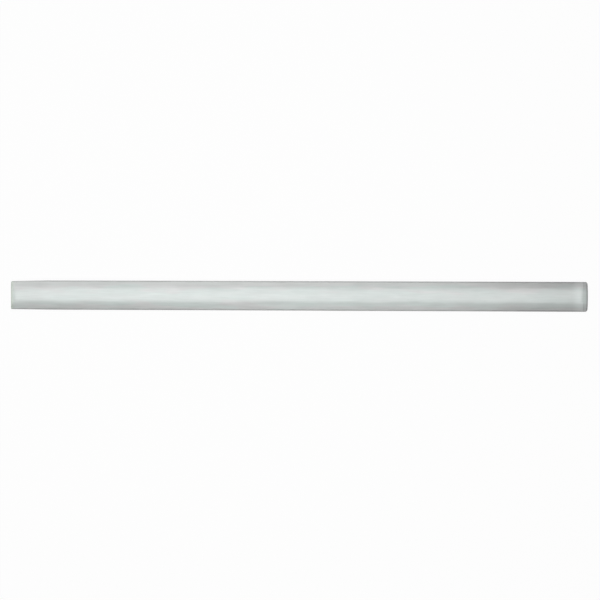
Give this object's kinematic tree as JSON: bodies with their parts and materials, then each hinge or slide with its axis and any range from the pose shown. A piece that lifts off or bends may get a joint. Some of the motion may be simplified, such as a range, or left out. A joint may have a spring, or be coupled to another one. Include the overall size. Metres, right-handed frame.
{
  "type": "pencil liner tile",
  "caption": "Slim opal glass pencil liner: a straight trim bar with a flat back to bond to a wall, a domed glossy face and rounded ends.",
  "frame": {"origin": "middle of the flat back, on the surface that the bar lies on", "axes": "+X along the bar, +Y across its width, +Z out of the domed face"},
  "size_m": [0.3048, 0.0156, 0.01],
  "materials": {
    "opal_glass": "pale grey-green opal glass, coloured all through, fire-polished"
  },
  "bodies": {
    "root": {"pencil_liner": "opal_glass"}
  },
  "joints": []
}
